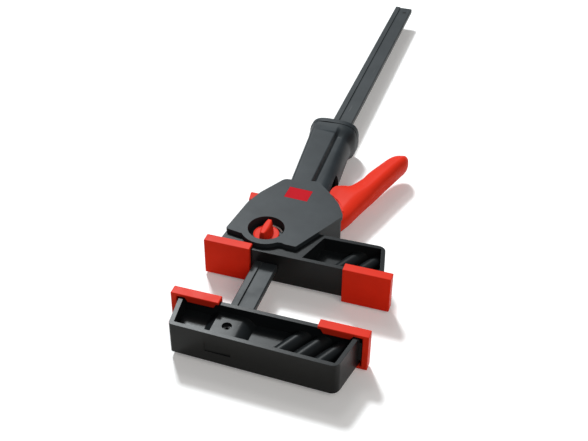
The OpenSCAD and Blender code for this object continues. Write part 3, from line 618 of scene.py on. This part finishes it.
# %% The paint in the line
BAR_HALF_W, STRIP_W, LINE_W = 8.75, 5.0, 1.0
LINE_X = -BAR_HALF_W + STRIP_W
PAINT_FOOT, PAINT_TOP = 2.1, 2.5
PAINT_SHORT = 0.5
bar_low, bar_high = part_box("bar")
line = rectangle(LINE_X, bar_low[1] / MM + PAINT_SHORT, LINE_X + LINE_W, bar_high[1] / MM - PAINT_SHORT)
skin_piece("bar_line_paint", [prism(line, PAINT_FOOT, PAINT_TOP), prism(line, -PAINT_TOP, -PAINT_FOOT)],
           bar_skin, "bar_unit", slot="painted_bar")

# %% [markdown]
# ## The release button
# The button is a block with softly rounded corners that stands out of the housing's heel side. A
# bevelled box would have the same round everywhere. Here each section is a squared circle, which
# keeps the sides flat, and the sections shrink along a quarter circle over the last millimetre.

# %% The button's head
BUTTON_FOOT_X, BUTTON_Y, BUTTON_HALF_W, BUTTON_HALF_H = -20, 11.5, 5.5, 8.0
BUTTON_POINTS, SQUARENESS = 64, 9
BUTTON_REACH, BUTTON_ROUND = 16.7, 1.1
STRAIGHT_STATIONS, ROUND_STEPS, TURN_SHARE = [0, 6, 12], 9, 0.96
SLANT, SLANT_FROM = 0.18, 13
# A squared circle is a circle pushed out by one over the ninth root of |cos|^9 + |sin|^9. Past the
# straight stations, the reach grows by a sine and the section shrinks by one less a cosine.
angle = np.linspace(0, 2 * np.pi, BUTTON_POINTS, endpoint=False)
squared = (np.abs(np.cos(angle)) ** SQUARENESS + np.abs(np.sin(angle)) ** SQUARENESS) ** (-1 / SQUARENESS)
turn = np.linspace(0, np.pi / 2 * TURN_SHARE, ROUND_STEPS)
reach = np.concatenate([STRAIGHT_STATIONS, BUTTON_REACH + BUTTON_ROUND * np.sin(turn)])[:, None]
no_shrink = np.zeros(len(STRAIGHT_STATIONS))
shrink = np.concatenate([no_shrink, BUTTON_ROUND * (1 - np.cos(turn))])[:, None]
button_y = BUTTON_Y + (BUTTON_HALF_W - shrink) * squared * np.cos(angle)
button_z = (BUTTON_HALF_H - shrink) * squared * np.sin(angle)
button_x = BUTTON_FOOT_X - reach - SLANT * (button_y - BUTTON_Y) * (reach > SLANT_FROM)
head = np.stack([button_x, button_y, button_z], axis=-1)
print("button's head:", head.shape)

# %% The button's arm
ARM_HALF = 6.4
arm = [[-20, 11.5], [-20, -8], [-21.5, -12], [-21.5, -34.7], [-16.2, -36.4], [-16.2, -37.9],
       [-18, -39.2], [-24, -39.2], [-24, -10], [-23, 11.5]]
button = skin_piece("button_moulding", [head, prism(arm, -ARM_HALF, ARM_HALF)], red_skin, "release",
                    "release_button", slot="red_plastic")
soften(button, radius_mm=0.3)

# %% [markdown]
# ## The coil springs
# The solids show each spring as a plain sleeve. A real one is round steel wire, wound so that its first
# and last turns lie flat. A Screw modifier could wind it, but not with flat ends, so the wire is a circle
# carried along a helix that climbs only between those end turns.

# %% Wound wire
ALONG_X, ALONG_Y = np.array([1.0, 0, 0]), np.array([0, 1.0, 0])
POINTS_PER_TURN, WIRE_SIDES = 26, 10
FLAT_TURNS = 0.7


def coil(ahead, start, stop, middle, radius, wire, turns):
    """Rings of a round wire along a helix about the line through middle that runs ahead: the angle
    grows evenly, and the way ahead grows evenly between the flat turns at both ends."""
    across = np.array([0, 0, 1.0])
    third = np.cross(ahead, across)
    u = np.linspace(0, 1, int(turns * POINTS_PER_TURN) + 1)
    flat_share = FLAT_TURNS / turns
    climb = np.clip((u - flat_share) / (1 - 2 * flat_share), 0, 1)
    place = start + wire / 2 + (stop - start - wire) * climb
    angle = 2 * np.pi * turns * u
    outward = np.cos(angle)[:, None] * across + np.sin(angle)[:, None] * third
    path = np.array(middle) + place[:, None] * ahead + (radius - wire / 2) * outward
    heading = np.gradient(path, axis=0)
    heading /= np.linalg.norm(heading, axis=1, keepdims=True)
    side = np.cross(heading, outward)
    v = np.linspace(0, 2 * np.pi, WIRE_SIDES, endpoint=False)[None, :, None]
    return path[:, None] + wire / 2 * (np.cos(v) * outward[:, None] + np.sin(v) * side[:, None])


print("rings in one turn of wire:", POINTS_PER_TURN)


# %% A spring of wound wire
def wound_spring(name, ahead, start, stop, middles, radius, wire, turns):
    """A spring's coils, one about each middle, in one piece that rides with the housing."""
    wires = [coil(ahead, start, stop, middle, radius, wire, turns) for middle in middles]
    spring = skin_piece(name + "_wire", wires, steel_skin, "housing", name, slot="bright_steel")
    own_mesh(spring)


print("a coil shortens along x or y:", ALONG_X, ALONG_Y)

# %% The springs
wound_spring("lever_return_spring", ALONG_X, start=12.34, stop=29.0,
             middles=[[0, 38, 0]], radius=2.6, wire=0.8, turns=9)
wound_spring("clamp_drive_spring", ALONG_Y, start=15.3, stop=25.0,
             middles=[[0, 0, 0]], radius=11.85, wire=1.4, turns=4.5)
wound_spring("spread_drive_springs", ALONG_Y, start=-20.5, stop=-15.3,
             middles=[[-11.85, 0, 0], [11.85, 0, 0]], radius=2, wire=0.5, turns=5)
wound_spring("release_spring", ALONG_X, start=-21.2, stop=-14.15,
             middles=[[0, -17.2, 0]], radius=1.8, wire=0.5, turns=6)
wound_spring("clamp_brake_spring", ALONG_Y, start=-45.4, stop=-40.48,
             middles=[[-11.85, 0, -3]], radius=2, wire=0.5, turns=4.5)
wound_spring("spread_brake_spring", ALONG_Y, start=-26.5, stop=-22.8,
             middles=[[-11.85, 0, -3]], radius=2, wire=0.5, turns=4)

# %% [markdown]
# ## Floor and light
# The clamp lies on a plain pale floor. A white floor would throw a cold light onto the dark walls, and
# a coloured one would tint the picture. So the floor is white to the camera and in reflections, and
# has a warm tone for the light that it throws back onto the clamp.

# %% The floor
FLOOR_HALF, FLOOR_LEVEL = 4.0, -0.0003
corners = np.array(rectangle(-1, -1, 1, 1)) * FLOOR_HALF
mesh = bpy.data.meshes.new("floor")
mesh.from_pydata(np.c_[corners, np.full(4, FLOOR_LEVEL)].tolist(), [], [[0, 1, 2, 3]])
floor = placed("floor", mesh)
print("floor's width in metres:", 2 * FLOOR_HALF)

# %% The floor's two colours
FLOOR_LIFT = 0.16
pale_floor = bpy.data.materials.new("pale_floor")
pale_floor.use_nodes = True
tree = pale_floor.node_tree
tree.nodes.remove(tree.nodes["Principled BSDF"])
ray = tree.nodes.new("ShaderNodeLightPath")
warm = add(tree, "ShaderNodeBsdfDiffuse", Color=colour(226, 188, 140))
pale = add(tree, "ShaderNodeBsdfDiffuse", Color=colour(248, 248, 248))
lift = add(tree, "ShaderNodeEmission", Color=(1, 1, 1, 1), Strength=FLOOR_LIFT)
bright = add(tree, "ShaderNodeAddShader", _0=pale.outputs[0], _1=lift.outputs[0])
shown = maths(tree, "MAXIMUM", ray.outputs["Is Camera Ray"], ray.outputs["Is Glossy Ray"])
seen = add(tree, "ShaderNodeMixShader", _0=shown, _1=warm.outputs[0], _2=bright.outputs[0])
tree.links.new(seen.outputs[0], tree.nodes["Material Output"].inputs["Surface"])
mesh.materials.append(pale_floor)
print("nodes in the floor's finish:", len(tree.nodes))

# %% [markdown]
# ## The lamps
# The photograph's light is one strong source high behind the clamp on its heel side. It draws bright
# lines along the rounded edges and leaves the front walls dark. A sun lamp's shadows would be as
# sharp as at noon, so the key is a small square lamp, a few metres away. A weak lamp beside it
# softens its shadows, and a wide warm one in front lifts the dark walls a little.

# %% Lamps and room
ROOM_COLOUR, ROOM_STRENGTH = (0.95, 0.97, 1.0, 1.0), 0.2


def lamp(name, at, aim, size, watts, tint):
    """A square area lamp of that size in metres, at a point and aimed at another."""
    data = bpy.data.lights.new(name, "AREA")
    data.shape = "SQUARE"
    data.size = size
    data.energy = watts
    data.color = tint
    stand(placed(name, data), aimed_axes(np.array(at), np.array(aim)), at)


lamp("key", at=(-1.7, 2.55, 3.4), aim=(0.0, 0.0, 0.0), size=0.6, watts=212.0, tint=(0.94, 0.985, 1.0))
lamp("upper", at=(-0.9, 1.8, 3.6), aim=(0.0, 0.05, 0.0), size=1.0, watts=20.0, tint=(1.0, 0.99, 0.97))
lamp("fill", at=(1.7, -1.3, 1.7), aim=(0.0, 0.0, 0.0), size=1.8, watts=19.0, tint=(1.0, 0.93, 0.84))
world = bpy.data.worlds.new("room")
bpy.context.scene.world = world
world.use_nodes = True
world.node_tree.nodes["Background"].inputs["Color"].default_value = ROOM_COLOUR
world.node_tree.nodes["Background"].inputs["Strength"].default_value = ROOM_STRENGTH
print("lamps:", len(bpy.data.lights))

# %% [markdown]
# ## The view transform
# The picture's colours are shown with the Standard view transform.

# %% The end
bpy.context.scene.view_settings.view_transform = "Standard"
